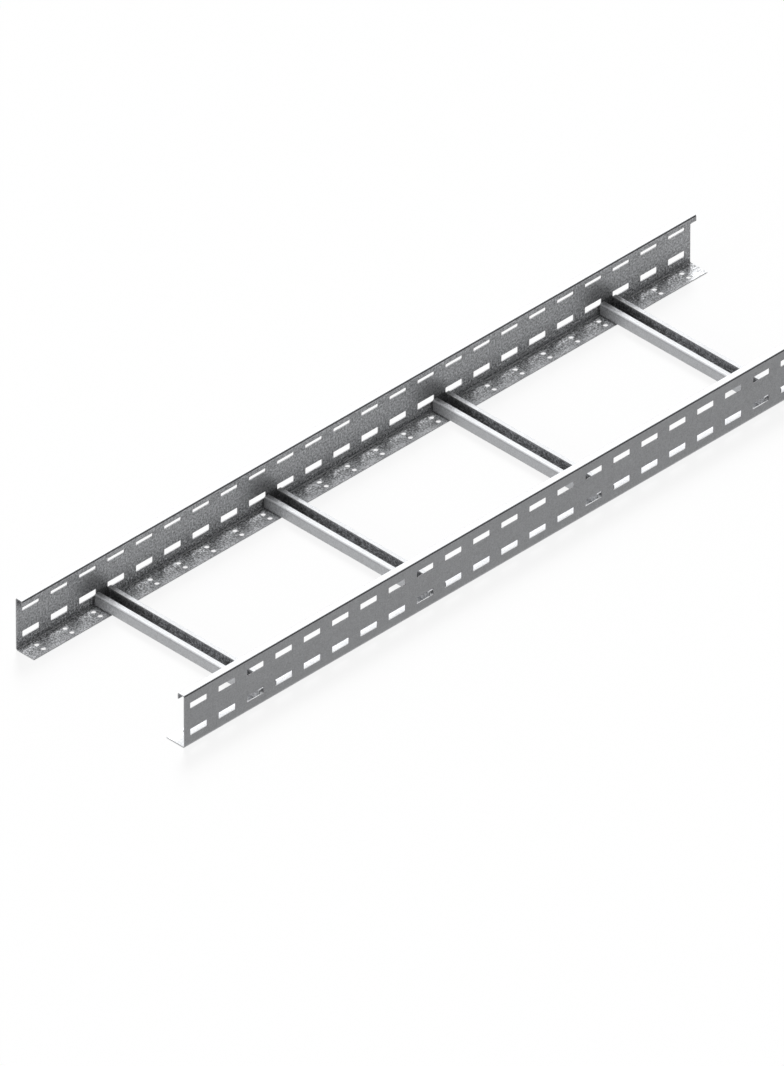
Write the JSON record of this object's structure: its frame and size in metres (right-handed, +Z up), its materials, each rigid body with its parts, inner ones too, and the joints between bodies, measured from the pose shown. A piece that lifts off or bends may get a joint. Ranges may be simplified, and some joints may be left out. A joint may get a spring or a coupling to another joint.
{
  "type": "cable ladder",
  "caption": "Straight galvanised steel cable ladder section with slotted C-shaped side rails and open-topped channel rungs standing on the rails' bottom flanges.",
  "frame": {"origin": "middle of the ladder in plan, at the height of the undersides of the bottom flanges", "axes": "+X along the side rails, +Y across the ladder towards the left rail, +Z up"},
  "size_m": [1.2, 0.3, 0.08],
  "materials": {
    "rail_zinc": "galvanised sheet steel, matt grey",
    "rung_zinc": "galvanised sheet steel, matt grey"
  },
  "bodies": {
    "root": {"left_side_rail": "rail_zinc", "right_side_rail": "rail_zinc", "rung_1": "rung_zinc", "rung_2": "rung_zinc", "rung_3": "rung_zinc", "rung_4": "rung_zinc"}
  },
  "joints": []
}
